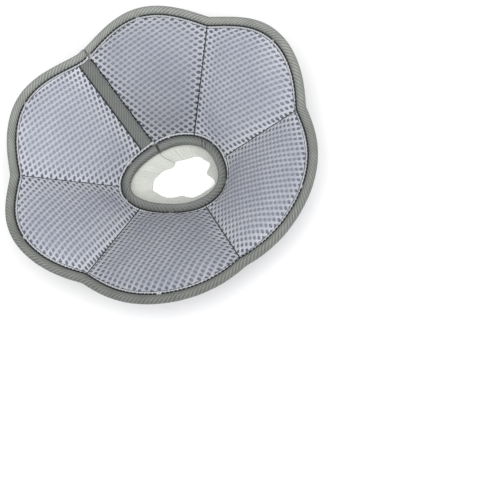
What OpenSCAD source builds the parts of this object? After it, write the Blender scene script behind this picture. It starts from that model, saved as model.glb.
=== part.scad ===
// Soft recovery collar for a cat. Six quilted mesh petals are sewn edge to edge into a shallow
// cone, bound with tape, with a gathered cuff at the neck and a lapped hook-and-loop closure.

/* [Overall] */
// Distance from the middle to the rim at a seam
rim_radius = 120; // [100:1:150]
// How far a petal's tip stands out past the seams
petal_reach = 9; // [4:0.5:20]
// How full the petal's outline is (1 is full, 2 is pointed)
petal_shape = 1.2; // [1:0.05:2]
// Height of the rim over the table at a seam
rim_height = 55; // [40:1:75]
// How much higher a petal's tip is
petal_lift = 8; // [0:0.5:15]

/* [Neck] */
// Half the length of the neck opening
neck_long = 37; // [30:0.5:45]
// Half the width of the neck opening
neck_short = 27.5; // [22:0.5:40]
// How far the neck's long axis is turned
neck_turn = -35; // [-90:0.5:90]
// How far the neck sits off the middle, away from the closure
neck_shift = 5; // [0:0.5:8]
// Height of the neck's edge over the table
neck_height = 13; // [8:0.5:24]
// How far three sides of the neck's oval are drawn out, as a share of its size
neck_wave = 0.06; // [0:0.01:0.1]
// Where round the oval these sides lie
neck_wave_turn = 46; // [0:1:120]

/* [Padding] */
// How far the padding swells on the front
puff_front = 8; // [2:0.5:14]
// How far the padding swells on the back
puff_back = 3; // [0.5:0.5:8]
// Distance over which the padding rises from a seam
seam_run = 26; // [12:1:40]
// Distance over which the padding rises from a binding
edge_run = 22; // [10:1:40]

/* [Layers] */
// Thickness of the mesh cover
cover_t = 0.8; // [0.5:0.1:2]
// Thickness of the back lining
lining_t = 0.6; // [0.4:0.1:1.5]
// Clearance between layers that lie on each other
layer_gap = 0.1; // [0.05:0.05:0.3]
// How far a panel's edge stays off its seam line
seam_gap = 0.25; // [0.15:0.05:1.5]

/* [Bindings] */
// Thickness of the binding tape
tape_t = 0.9; // [0.5:0.1:1.5]
// Width of the folded tape around the rim
rim_tape = 7.5; // [6:0.5:12]
// Width of the folded tape around the neck
neck_tape = 8; // [5:0.5:12]
// How far the tapes stay off a seam line
tape_gap = 0.75; // [0.6:0.05:2]
// How far the layers stop short of the tape's fold
fold_inset = 2.6; // [2.4:0.1:4]
// How far back from the edge the tape's fold is rounded
fold_round = 2; // [1:0.1:2.2]
// How far the rim's fold bulges on each side at a petal's tip
rim_roll = 1.2; // [0:0.1:2]
// How far the fold around the neck bulges on the front
neck_roll = 4.5; // [0:0.1:6]
// Distance from the neck's fold of the far edge of its bulge
neck_crown = 5; // [4:0.5:7]

/* [Cuff] */
// Thickness of the gathered cuff
cuff_t = 1.4; // [0.8:0.1:3]
// How far the cuff draws in towards its lower edge
cuff_taper = 10; // [3:0.5:14]
// How far the cuff is sewn in under the neck tape
cuff_sewn = 3; // [2:0.5:6]
// Depth of the cuff's folds
cuff_fold = 1.2; // [0:0.1:3]
// Number of folds in each panel's share of the cuff
cuff_folds = 3; // [1:1:6]
// How far the cuff stands out under the neck's edge before it turns down
cuff_lip = 0.8; // [0.4:0.1:2]
// How far a share of the cuff stays off a seam line
cuff_gap = 0.6; // [0.5:0.05:2]

/* [Closure] */
// Width of the tape that binds the flap's free edge
strip_w = 10.5; // [6:0.5:16]
// How much of that tape lies past the closure line
strip_over = 5.5; // [3:0.5:8]
// How far the edge under the flap is pressed down
lap_drop = 0.6; // [0:0.1:2]
// Clearance between the flap and what lies under it
lap_gap = 0.35; // [0.3:0.05:1]
// Clearance beside the tape that binds the flap
lap_side = 1; // [0.5:0.1:2]
// How far the tab reaches under the flap
tab_reach = 28; // [18:1:36]
// How far the tab is sewn in under the first panel
tab_sewn = 9; // [6:0.5:14]
// Thickness of the tab
tab_t = 1.2; // [0.6:0.1:2]
// Length over which the tab rises under the flap
tab_step = 7; // [4:0.5:12]
// Distance over which the padding swells behind the tab's sewn edge
tab_fade = 20; // [10:1:30]
// Where the tab starts and ends between neck and rim
tab_span = [0.4, 0.85]; // [0:0.01:1]
// Thickness of the hook tape and of the loop tape
hook_t = 0.9; // [0.5:0.1:1.5]
// How far the hook tape and the loop tape stay inside the tab's edges
hook_inset = 2; // [1:0.5:4]

/* [Hidden] */
// Number of panels, and how far each seam is off even spacing at the rim and at the neck
panels = 6;
rim_ease = [0, 5, 6, -3, -6, -3, 0];
neck_ease = [0, 6.5, 17, 0, -19, 5, 0];
closure_angle = 89;
closure_neck = 122;
// How far each seam's rim end and each petal's tip is off the common size
rim_draw = [-1, 2.5, -2, 1.5, -1, 2.5, -1];
reach_ease = [-1, 2, -0.5, -1, 1, 0];
// Shares of a panel's width over which the flap rises and the edge under it is pressed down
flap_bend = [0.25, 0.5];
under_bend = [0.2, 0.5];
// Steps across a panel and from its neck tape to its rim tape, and the width of the outer steps
cols = 10;
rows = 8;
edge_step = 2.75;
// Steps along the cuff, the flap's tape, the tab and the hook tape
cuff_steps = 14;
strip_steps = 12;
tab_steps = [12, 6];
hook_steps = [5, 6];
// How far the fold's nose and the corner inside the fold stay off the edge and the layers
fold_nose = 0.2;
fold_clear = 0.4;
// How slowly a tape's bulge grows from a seam
bulge_shape = 1.5;
// Share of the cuff's taper that is reached halfway down
cuff_mid = 0.45;
// Outer faces of the layers, at a seam, off the panel's middle surface
front_0 = layer_gap / 2 + cover_t;
back_0 = layer_gap / 2 + lining_t;
tape_off = layer_gap + tape_t;
// How far the flap is raised so that its tape clears the panel under it
lap_rise = back_0 + tape_off + lap_gap + front_0 - lap_drop;
// Top of the tab where it is sewn on and where it lies under the flap
tab_low = -lap_drop - back_0 - layer_gap;
tab_high = lap_rise - back_0 - 2 * (layer_gap + hook_t) - lap_gap;

color_mesh = [0.70, 0.70, 0.76];
color_tape = [0.50, 0.51, 0.51];
color_cuff = [0.93, 0.93, 0.92];
color_foam = [0.90, 0.88, 0.80];
color_lining = [0.66, 0.67, 0.70];
color_hook = [0.80, 0.80, 0.82];

function unit(v) = v / norm(v);
function lerp(a, b, f) = a + (b - a) * f;
function ramp(x) = let (c = min(1, max(0, x))) c * c * (3 - 2 * c);
function between(x, ends) = ramp((x - ends[0]) / (ends[1] - ends[0]));
function swell(d, run) = let (c = min(1, max(0, d / run))) c * (2 - c);
function spaced(j, n) = 0.5 - 0.5 * cos(180 * j / n);

// Angle of seam k round the rim, and round the neck's oval
function rim_angle(k) = closure_angle - 360 / panels * k + rim_ease[k];
function neck_angle(k) = closure_neck - 360 / panels * k + neck_ease[k];

// A point on the neck's edge
function neck_point(a) =
    let (f = 1 + neck_wave * cos(3 * (a + neck_wave_turn)))
    let (x = f * neck_long * cos(a), y = f * neck_short * sin(a))
    [x * cos(neck_turn) - y * sin(neck_turn),
     x * sin(neck_turn) + y * cos(neck_turn) - neck_shift,
     neck_height];

// Panel i at s, from 0 at its first seam to 1 at its second
function neck_at(i, s) = neck_point(lerp(neck_angle(i - 1), neck_angle(i), s));
function rim_at(i, s) =
    let (a = lerp(rim_angle(i - 1), rim_angle(i), s))
    let (c = max(0, sin(180 * s)))
    let (r = rim_radius + lerp(rim_draw[i - 1], rim_draw[i], ramp(s))
        + (petal_reach + reach_ease[i - 1]) * pow(c, petal_shape))
    [r * cos(a), r * sin(a), rim_height + petal_lift * c * c];
function span(i, s) = norm(rim_at(i, s) - neck_at(i, s));
function base(i, s, t) = lerp(neck_at(i, s), rim_at(i, s), t);
function width(i, t) = norm(base(i, 1, t) - base(i, 0, t));

// Direction a seam's front faces, and a panel's
function seam_up(k) =
    let (a = rim_angle(k), r = rim_radius + rim_draw[k])
    let (out = [r * cos(a), r * sin(a), rim_height] - neck_point(neck_angle(k)))
    unit(cross([sin(a), -cos(a), 0], out));
function up(i, s) = unit(lerp(seam_up(i - 1), seam_up(i), s));

// A point at height h over panel i's middle surface, with t from 0 at the neck to 1 at the rim.
// Past the closure the first and the last panel share one surface.
function over(i, s, t, h) =
    i == panels && s > 1 ? over(1, (s - 1) * width(panels, t) / width(1, t), t, h)
    : i == 1 && s < 0 ? over(panels, 1 + s * width(1, t) / width(panels, t), t, h)
    : base(i, s, t) + h * up(i, s);

// The last panel rises over the first one at the closure
function lift(i, s) =
    i == panels ? lap_rise * between(s, flap_bend)
    : i == 1 ? -lap_drop * (1 - between(s, under_bend))
    : 0;

// How far the padding is swollen, from 0 at the stitching to 1
function swelling(i, s, t) =
    let (w = width(i, t), l = span(i, s))
    let (from_first = s * w - (i == 1 ? first_step(1) : 0))
    let (from_second = (1 - s) * w - (i == panels ? last_step(panels) : 0))
    swell(from_first, seam_run) * swell(from_second, seam_run)
    * swell(t * l - neck_tape, edge_run) * swell((1 - t) * l - rim_tape, edge_run);
function back_share(i, s, t) =
    i == panels ? 1 - between(s, under_bend)
    : i == 1 ? ramp((s * width(1, t) - tab_sewn - lap_side) / tab_fade)
    : 1;
function front_h(i, s, t) = lift(i, s) + front_0 + puff_front * swelling(i, s, t);
function back_h(i, s, t) =
    lift(i, s) - back_0 - puff_back * swelling(i, s, t) * back_share(i, s, t);

// Columns across a panel. The last panel has one more, on the closure line. The first and the
// last column stay off the seam lines by d.
function first_step(i) = i == 1 ? strip_over + lap_side : edge_step;
function last_step(i) = i == panels ? strip_w - strip_over + lap_side : edge_step;
function last_col(i) = i == panels ? cols + 1 : cols;
function col_s(i, t, j, d) =
    let (w = width(i, t))
    j == 0 ? d[0] / w
    : j < cols ? lerp(first_step(i) / w, 1 - last_step(i) / w, spaced(j - 1, cols - 2))
    : j == last_col(i) ? 1 - d[1] / w
    : 1;
function layer_ends(i) = [seam_gap, i == panels ? fold_inset - strip_over : seam_gap];
function tape_ends(i) = [tape_gap, i == panels ? -strip_over : tape_gap];

// Length from neck to rim, also past the closure
function length_at(i, s, t) =
    i == panels && s > 1 ? span(1, (s - 1) * width(panels, t) / width(1, t)) : span(i, s);
// [s, t] in column j, where q is [share of the length, distance on top of it] from the neck
function place(i, j, d, q) =
    let (t0 = q[0] + q[1] / span(i, 0.5))
    let (t = q[0] + q[1] / length_at(i, col_s(i, t0, j, d), t0))
    [col_s(i, t, j, d), t];
function row(k) =
    let (f = spaced(k - 1, rows))
    k == 0 ? [0, fold_inset]
    : k == rows + 2 ? [1, -fold_inset]
    : [f, lerp(neck_tape, -rim_tape, f)];
// Height of the sides of layer n: cover top and underside, lining top and underside, foam
function side_h(i, s, t, n) =
    n == 0 ? front_h(i, s, t)
    : n == 1 ? front_h(i, s, t) - cover_t
    : n == 2 ? back_h(i, s, t) + lining_t
    : n == 3 ? back_h(i, s, t)
    : n == 4 ? front_h(i, s, t) - cover_t - layer_gap
    : back_h(i, s, t) + lining_t + layer_gap;
function layer(i, n, j0, j1, k0, k1) =
    [for (j = [j0 : j1])
        [for (k = [k0 : k1])
            let (p = place(i, j, layer_ends(i), row(k)))
            over(i, p[0], p[1], side_h(i, p[0], p[1], n))]];

// A sheet between two matching grids of points
module slab(top, low) {
    n = len(top) - 1;
    m = len(top[0]) - 1;
    r = m + 1;
    o = (n + 1) * r;
    points = concat([for (c = top) each c], [for (c = low) each c]);
    broad = [for (j = [0 : n - 1], k = [0 : m - 1])
        let (a = j * r + k, b = a + 1, c = a + r + 1, d = a + r)
        each [[a, b, c], [a, c, d], [a + o, c + o, b + o], [a + o, d + o, c + o]]];
    ends = [for (j = [0 : n - 1])
        let (a = j * r, d = a + r, e = a + m, f = d + m)
        each [[a, d, d + o], [a, d + o, a + o], [f, e, e + o], [f, e + o, f + o]]];
    sides = [for (k = [0 : m - 1])
        let (a = k, b = k + 1, e = n * r + k, f = e + 1)
        each [[b, a, a + o], [b, a + o, b + o], [e, f, f + o], [e, f + o, e + o]]];
    polyhedron(points, concat(broad, ends, sides), convexity = 6);
}

// A closed section carried through a row of stations. Each section is one path and, back along
// it, a second path, so that point j faces point last - j.
module carried(rings) {
    n = len(rings) - 1;
    m = len(rings[0]);
    points = [for (ring = rings) each ring];
    skin = [for (k = [0 : n - 1], j = [0 : m - 1])
        let (a = k * m + j, b = k * m + (j + 1) % m, c = b + m, d = a + m)
        each [[a, c, b], [a, d, c]]];
    caps = [for (j = [0 : m / 2 - 2])
        let (a = j, b = j + 1, c = m - 2 - j, d = m - 1 - j, e = n * m)
        each [[a, b, c], [a, c, d], [a + e, c + e, b + e], [a + e, d + e, c + e]]];
    polyhedron(points, concat(skin, caps), convexity = 8);
}

// Section of a folded tape, as [distance from the fold, height]: front leg to back leg, and back
// inside the fold. The legs have a point at each of the distances in legs, the longest first,
// and towards the fold they bulge, by up to front and back.
function turned(list) = [for (j = [len(list) - 1 : -1 : 0]) list[j]];
function crown(x, legs) = sin(90 * (legs[0] - x) / (legs[0] - fold_round));
function fold_section(legs, front, back) =
    let (top = front_0 + tape_off, low = -back_0 - tape_off)
    let (inner = fold_inset - fold_clear, nose = fold_nose + tape_t)
    concat(
        [for (x = legs) [x, top + front * crown(x, legs)]],
        [[fold_round, top + front], [fold_nose, front_0 / 2]],
        [[fold_nose, -back_0 / 2], [fold_round, low - back]],
        [for (x = turned(legs)) [x, low - back * crown(x, legs)]],
        [for (x = legs) [x, low + tape_t]],
        [[inner, low + tape_t], [nose, -back_0 / 3], [nose, front_0 / 3], [inner, top - tape_t]],
        [for (x = turned(legs)) [x, top - tape_t]]);
// One ring of a tape in column j of panel i, on the neck (edge 0) or the rim (edge 1). The bulge
// fades towards the seams and towards the flap on the first panel.
function tape_ring(i, j, edge, legs, front, back) =
    let (s = place(i, j, tape_ends(i), [edge, 0])[0])
    let (first = i == 1 ? first_step(1) / width(1, edge) : 0)
    let (fade = pow(max(0, sin(180 * (s - first) / (1 - first))), bulge_shape))
    [for (p = fold_section(legs, front * fade, back * fade))
        let (q = place(i, j, tape_ends(i), [edge, edge == 0 ? p[0] : -p[0]]))
        over(i, q[0], q[1], p[1] + lift(i, q[0]))];
function first_tape_col(i) = i == 1 ? 1 : 0;

module mesh_cover(i) {
    color(color_mesh)
        slab(layer(i, 0, 0, last_col(i), 0, rows + 2), layer(i, 1, 0, last_col(i), 0, rows + 2));
}

module foam_pad(i) {
    first = i == 1 ? 2 : 1;
    last = i == panels ? cols - 2 : cols - 1;
    color(color_foam)
        slab(layer(i, 4, first, last, 2, rows), layer(i, 5, first, last, 2, rows));
}

module back_lining(i) {
    color(color_lining)
        slab(layer(i, 2, 0, last_col(i), 0, rows + 2), layer(i, 3, 0, last_col(i), 0, rows + 2));
}

module outer_binding(i) {
    color(color_tape)
        carried([for (j = [last_col(i) : -1 : first_tape_col(i)])
            tape_ring(i, j, 1, [rim_tape], rim_roll, rim_roll)]);
}

module neck_binding(i) {
    color(color_tape)
        carried([for (j = [first_tape_col(i) : last_col(i)])
            tape_ring(i, j, 0, [neck_tape, neck_crown], neck_roll, 0)]);
}

// One panel's share of the cuff: sewn on under the neck tape, it hangs to the table and draws in
module cuff(i) {
    top = -back_0 - tape_off - 2 * layer_gap - cuff_t / 2;
    color(color_cuff)
        carried([for (j = [0 : cuff_steps])
            let (s = lerp(cuff_gap / width(i, 0), 1 - cuff_gap / width(i, 0), j / cuff_steps))
            let (l = span(i, s), h = top + lift(i, s), n = up(i, s), e = neck_at(i, s))
            let (sway = cuff_fold * sin(360 * cuff_folds * s))
            let (inward = unit([-e[0], -neck_shift - e[1], 0]))
            let (a = over(i, s, cuff_sewn / l, h), b = over(i, s, -cuff_lip / l, h))
            let (c = [e[0], e[1], neck_height / 2] + inward * (cuff_mid * cuff_taper + sway / 2))
            let (d = [e[0], e[1], 0] + inward * (cuff_taper + sway))
            let (half = cuff_t / 2)
            [a + n * half, b + n * half, c + inward * half, d + inward * half,
             d - inward * half, c - inward * half, b - n * half, a - n * half]]);
}

// Closure: places by distance d past the closure line, to the first panel's side
function lap(d, t, h) = over(1, d / width(1, t), t, h);
function lap_length(d, t) = length_at(panels, 1 + d / width(panels, t), t);
function tab_top(d) = lerp(tab_low, tab_high, ramp(-d / tab_step));
// A grid over the distances d and the shares t, where f picks the face: tab, loop tape, hook tape
function patch(d, t, steps, f) =
    [for (j = [0 : steps[0]])
        let (x = lerp(d[0], d[1], j / steps[0]))
        [for (k = [0 : steps[1]])
            lap(x, lerp(t[0], t[1], k / steps[1]), f == 0 ? tab_top(x)
                : f == 1 ? tab_top(x) - tab_t
                : f == 2 ? tab_high + layer_gap + hook_t
                : f == 3 ? tab_high + layer_gap
                : f == 4 ? lap_rise - back_0 - layer_gap
                : lap_rise - back_0 - layer_gap - hook_t)]];
hook_d = [hook_inset - tab_reach, -tab_step];
hook_span = tab_span + [1, -1] * hook_inset / span(1, 0);

module flap_edge_binding() {
    ends = [neck_tape + layer_gap, rim_tape + layer_gap];
    color(color_tape)
        carried([for (k = [0 : strip_steps])
            [for (p = fold_section([strip_w, strip_over], 0, 0))
                let (d = strip_over - p[0], l = lap_length(d, k / strip_steps))
                lap(d, lerp(ends[0] / l, 1 - ends[1] / l, k / strip_steps), p[1] + lap_rise)]]);
}

module closure_tab() {
    reach = [-tab_reach, tab_sewn];
    color(color_lining)
        slab(patch(reach, tab_span, tab_steps, 0), patch(reach, tab_span, tab_steps, 1));
}

module loop_tape() {
    color(color_hook)
        slab(patch(hook_d, hook_span, hook_steps, 2), patch(hook_d, hook_span, hook_steps, 3));
}

module hook_tape() {
    color(color_hook)
        slab(patch(hook_d, hook_span, hook_steps, 4), patch(hook_d, hook_span, hook_steps, 5));
}

module mesh_cover_1() { mesh_cover(1); }
module foam_pad_1() { foam_pad(1); }
module back_lining_1() { back_lining(1); }
module outer_binding_1() { outer_binding(1); }
module neck_binding_1() { neck_binding(1); }
module cuff_1() { cuff(1); }
module mesh_cover_2() { mesh_cover(2); }
module foam_pad_2() { foam_pad(2); }
module back_lining_2() { back_lining(2); }
module outer_binding_2() { outer_binding(2); }
module neck_binding_2() { neck_binding(2); }
module cuff_2() { cuff(2); }
module mesh_cover_3() { mesh_cover(3); }
module foam_pad_3() { foam_pad(3); }
module back_lining_3() { back_lining(3); }
module outer_binding_3() { outer_binding(3); }
module neck_binding_3() { neck_binding(3); }
module cuff_3() { cuff(3); }
module mesh_cover_4() { mesh_cover(4); }
module foam_pad_4() { foam_pad(4); }
module back_lining_4() { back_lining(4); }
module outer_binding_4() { outer_binding(4); }
module neck_binding_4() { neck_binding(4); }
module cuff_4() { cuff(4); }
module mesh_cover_5() { mesh_cover(5); }
module foam_pad_5() { foam_pad(5); }
module back_lining_5() { back_lining(5); }
module outer_binding_5() { outer_binding(5); }
module neck_binding_5() { neck_binding(5); }
module cuff_5() { cuff(5); }
module mesh_cover_6() { mesh_cover(6); }
module foam_pad_6() { foam_pad(6); }
module back_lining_6() { back_lining(6); }
module outer_binding_6() { outer_binding(6); }
module neck_binding_6() { neck_binding(6); }
module cuff_6() { cuff(6); }

mesh_cover_1();
foam_pad_1();
back_lining_1();
outer_binding_1();
neck_binding_1();
cuff_1();
mesh_cover_2();
foam_pad_2();
back_lining_2();
outer_binding_2();
neck_binding_2();
cuff_2();
mesh_cover_3();
foam_pad_3();
back_lining_3();
outer_binding_3();
neck_binding_3();
cuff_3();
mesh_cover_4();
foam_pad_4();
back_lining_4();
outer_binding_4();
neck_binding_4();
cuff_4();
mesh_cover_5();
foam_pad_5();
back_lining_5();
outer_binding_5();
neck_binding_5();
cuff_5();
mesh_cover_6();
foam_pad_6();
back_lining_6();
outer_binding_6();
neck_binding_6();
cuff_6();
flap_edge_binding();
closure_tab();
hook_tape();
loop_tape();
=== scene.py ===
import math

import bmesh
import bpy
import numpy as np
from mathutils import Matrix, Vector


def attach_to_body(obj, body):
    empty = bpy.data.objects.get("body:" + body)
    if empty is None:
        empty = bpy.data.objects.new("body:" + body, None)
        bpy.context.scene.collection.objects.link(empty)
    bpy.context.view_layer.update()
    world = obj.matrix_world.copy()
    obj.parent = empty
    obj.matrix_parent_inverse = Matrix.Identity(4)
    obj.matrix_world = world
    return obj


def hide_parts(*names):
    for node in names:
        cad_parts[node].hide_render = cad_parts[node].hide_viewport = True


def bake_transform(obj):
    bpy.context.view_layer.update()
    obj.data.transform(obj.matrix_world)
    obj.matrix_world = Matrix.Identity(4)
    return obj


# Looks of a soft recovery collar: six padded mesh petals sewn into a shallow cone, twill tape
# round the rim and the neck, a gathered cuff, and a flap that laps over the first petal.
# Metres, +Z up, in the frame of the solids. The sizes repeat those of the solids.
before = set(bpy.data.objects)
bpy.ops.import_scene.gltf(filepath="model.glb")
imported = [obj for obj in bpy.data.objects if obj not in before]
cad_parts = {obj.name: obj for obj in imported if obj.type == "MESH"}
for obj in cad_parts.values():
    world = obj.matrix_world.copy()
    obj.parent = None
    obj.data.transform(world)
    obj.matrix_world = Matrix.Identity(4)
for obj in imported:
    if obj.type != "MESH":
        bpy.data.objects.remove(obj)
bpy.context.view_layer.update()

MM = 0.001

# Outline of the petals
PANELS = 6
RIM_RADIUS = 0.120
PETAL_REACH = 0.009
PETAL_SHAPE = 1.2
RIM_HEIGHT = 0.055
PETAL_LIFT = 0.008
RIM_ANGLE = np.radians([89, 34, -25, -94, -157, -214, -271])
RIM_DRAW = MM * np.array([-1, 2.5, -2, 1.5, -1, 2.5, -1])
REACH_EASE = MM * np.array([-1, 2, -0.5, -1, 1, 0])

# Oval of the neck
NECK_LONG = 0.037
NECK_SHORT = 0.0275
NECK_TURN = math.radians(-35)
NECK_SHIFT = 0.005
NECK_HEIGHT = 0.013
NECK_WAVE = 0.06
NECK_WAVE_TURN = math.radians(46)
NECK_ANGLE = np.radians([122, 68.5, 19, -58, -137, -173, -238])

# Padding and layers
PUFF_FRONT = 0.008
PUFF_BACK = 0.003
SEAM_RUN = 0.026
EDGE_RUN = 0.022
COVER_T = 0.0008
LINING_T = 0.0006
LAYER_GAP = 0.0001
SEAM_GAP = 0.00025
FRONT_0 = LAYER_GAP / 2 + COVER_T
BACK_0 = LAYER_GAP / 2 + LINING_T

# Bindings
TAPE_T = 0.0009
RIM_TAPE = 0.0075
NECK_TAPE = 0.008
FOLD_INSET = 0.0026
RIM_ROLL = 0.0016
NECK_ROLL = 0.0045
TAPE_TOP = FRONT_0 + LAYER_GAP + TAPE_T
TAPE_LOW = -BACK_0 - LAYER_GAP - TAPE_T

# Cuff
CUFF_T = 0.0009
CUFF_TAPER = 0.010
CUFF_SEWN = 0.003
CUFF_LIP = 0.0008

# Closure
STRIP_W = 0.0105
STRIP_OVER = 0.0055
LAP_DROP = 0.0006
LAP_GAP = 0.00035
LAP_SIDE = 0.001
TAB_REACH = 0.028
TAB_SEWN = 0.009
TAB_T = 0.0012
TAB_STEP = 0.007
TAB_FADE = 0.020
TAB_SPAN = (0.40, 0.85)
HOOK_T = 0.0009
HOOK_INSET = 0.002
FLAP_BEND = (0.25, 0.5)
UNDER_BEND = (0.2, 0.5)
LAP_RISE = BACK_0 + LAYER_GAP + TAPE_T + LAP_GAP + FRONT_0 - LAP_DROP
TAB_LOW = -LAP_DROP - BACK_0 - LAYER_GAP
TAB_HIGH = LAP_RISE - BACK_0 - 2 * (LAYER_GAP + HOOK_T) - LAP_GAP

# Mesh of the covers, for each petal: two sets of rows of holes, as their spacing in mm and the
# direction across them in degrees from the petal's middle line towards its second seam. The
# strands along the leading set lie on top.
HOLE_ROWS = [
    ((4.1, 52), (3.95, -17)), ((4.3, -54), (3.7, 10)), ((4.6, 75), (3.6, 146)),
    ((3.6, 33), (4.8, 116)), ((3.2, -3), (4.8, 66)), ((3.45, -46), (4.2, 22)),
]
HOLE_LEAD = [1, 0, 0, 1, 1, 1]
HOLE_REACH = 60
HOLE_HALF = 0.34
HOLE_ROUND = 0.84
HOLE_TAPER = 0.88
UNDER_SHADE = 0.2
# Height of a strand on top, of one below, of a hole's rim and of its foot, and the unevenness of the
# heights and of the places
TOP_YARN, LOW_YARN, RIM_YARN, FOOT_YARN = COVER_T * np.array([1.1, 0.8, 0.7, 0.05])
UNEVEN_RISE = 0.00003
UNEVEN_PLACE = 0.00006
NET_UNDER = 2 * MM
NET_FLAP = 3 * MM
NET_PAST = 0.03
NET_SEED = 40

# Sewing thread: a stitch's length and pitch, the least bare end of a row, and the radius in each row. The
# rows are thick and near black: thread, and painted shade of the grooves at the tapes' edges and in the seams
STITCH = 0.003
STITCH_PITCH = 0.00315
STITCH_MARGIN = 0.0006
LINE_THREAD = 0.65 * MM
OUTER_THREAD = 0.2 * MM
STRIP_THREAD = 0.6 * MM
FLAP_THREAD = 0.55 * MM
SEAM_THREAD = MM * np.array([0.55, 0.36, 0.42, 0.42, 0.3])
TAB_THREAD = 0.3 * MM
TAB_STITCH = 2.2 * MM

BODY = [None, "panel_1", "panel_2", "front_panels", "front_panels", "panel_5", "panel_6"]


# Surface of the petals. Panel i runs from s 0 at its first seam to s 1 at its second, and from
# t 0 at the neck to t 1 at the rim.
def lerp(a, b, f):
    return a + (b - a) * f


def ramp(x):
    c = np.clip(x, 0, 1)
    return c * c * (3 - 2 * c)


def between(x, ends):
    return ramp((x - ends[0]) / (ends[1] - ends[0]))


def swell(d, run):
    c = np.clip(d / run, 0, 1)
    return c * (2 - c)


def bump(x, at, wide):
    return np.exp(-(((x - at) / wide) ** 2))


def unit(v):
    return v / np.linalg.norm(v, axis=-1, keepdims=True)


def crest(s):
    return np.maximum(0, np.sin(math.pi * s))


def neck_point(a):
    wave = 1 + NECK_WAVE * np.cos(3 * (a + NECK_WAVE_TURN))
    x, y = wave * NECK_LONG * np.cos(a), wave * NECK_SHORT * np.sin(a)
    c, s = math.cos(NECK_TURN), math.sin(NECK_TURN)
    return np.stack([x * c - y * s, x * s + y * c - NECK_SHIFT, np.full_like(x, NECK_HEIGHT)], -1)


def neck_at(i, s):
    return neck_point(lerp(NECK_ANGLE[i - 1], NECK_ANGLE[i], s))


def rim_at(i, s):
    a = lerp(RIM_ANGLE[i - 1], RIM_ANGLE[i], s)
    c = crest(s)
    r = RIM_RADIUS + lerp(RIM_DRAW[i - 1], RIM_DRAW[i], ramp(s))
    r = r + (PETAL_REACH + REACH_EASE[i - 1]) * c**PETAL_SHAPE
    return np.stack([r * np.cos(a), r * np.sin(a), RIM_HEIGHT + PETAL_LIFT * c * c], -1)


def base(i, s, t):
    return lerp(neck_at(i, s), rim_at(i, s), np.asarray(t, float)[..., None])


def span(i, s):
    return np.linalg.norm(rim_at(i, s) - neck_at(i, s), axis=-1)


def width(i, t):
    one = np.ones_like(t)
    return np.linalg.norm(base(i, one, t) - base(i, 0 * one, t), axis=-1)


def seam_line(k):
    """Neck end, direction and front side of seam k, from 0 at the closure to 6 there again."""
    a, r = RIM_ANGLE[k], RIM_RADIUS + RIM_DRAW[k]
    neck = neck_point(NECK_ANGLE[k])
    out = np.array([r * math.cos(a), r * math.sin(a), RIM_HEIGHT]) - neck
    return neck, unit(out), unit(np.cross([math.sin(a), -math.cos(a), 0], out))


def up(i, s):
    f = np.asarray(s, float)[..., None]
    return unit(lerp(seam_line(i - 1)[2], seam_line(i)[2], f))


def over(i, s, t, h):
    """Points at height h over panel i. Past the closure the two panels there share one surface."""
    s, t, h = np.broadcast_arrays(*(np.asarray(x, float) for x in (s, t, h)))
    at = lambda panel, s: base(panel, s, t) + h[..., None] * up(panel, s)
    points = at(i, s)
    ratio = width(PANELS, t) / width(1, t)
    if i == PANELS and (s > 1).any():
        points = np.where((s > 1)[..., None], at(1, (s - 1) * ratio), points)
    if i == 1 and (s < 0).any():
        points = np.where((s < 0)[..., None], at(PANELS, 1 + s / ratio), points)
    return points


def lap(d, t, h):
    """Points at distance d past the closure line, on the first panel's side."""
    return over(1, d / width(1, t), t, h)


def lift(i, s):
    if i == PANELS:
        return LAP_RISE * between(s, FLAP_BEND)
    if i == 1:
        return -LAP_DROP * (1 - between(s, UNDER_BEND))
    return np.zeros_like(s)


def swelling(i, s, t):
    w, l = width(i, t), span(i, s)
    first = STRIP_OVER + LAP_SIDE if i == 1 else 0
    last = STRIP_W - STRIP_OVER + LAP_SIDE if i == PANELS else 0
    across = swell(s * w - first, SEAM_RUN) * swell((1 - s) * w - last, SEAM_RUN)
    return across * swell(t * l - NECK_TAPE, EDGE_RUN) * swell((1 - t) * l - RIM_TAPE, EDGE_RUN)


def front_height(i, s, t, share=1):
    return lift(i, s) + FRONT_0 + share * PUFF_FRONT * swelling(i, s, t)


def back_height(i, s, t, share=1):
    if i == PANELS:
        share = share * (1 - between(s, UNDER_BEND))
    if i == 1:
        share = share * ramp((s * width(1, t) - TAB_SEWN - LAP_SIDE) / TAB_FADE)
    return lift(i, s) - BACK_0 - share * PUFF_BACK * swelling(i, s, t)


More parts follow.
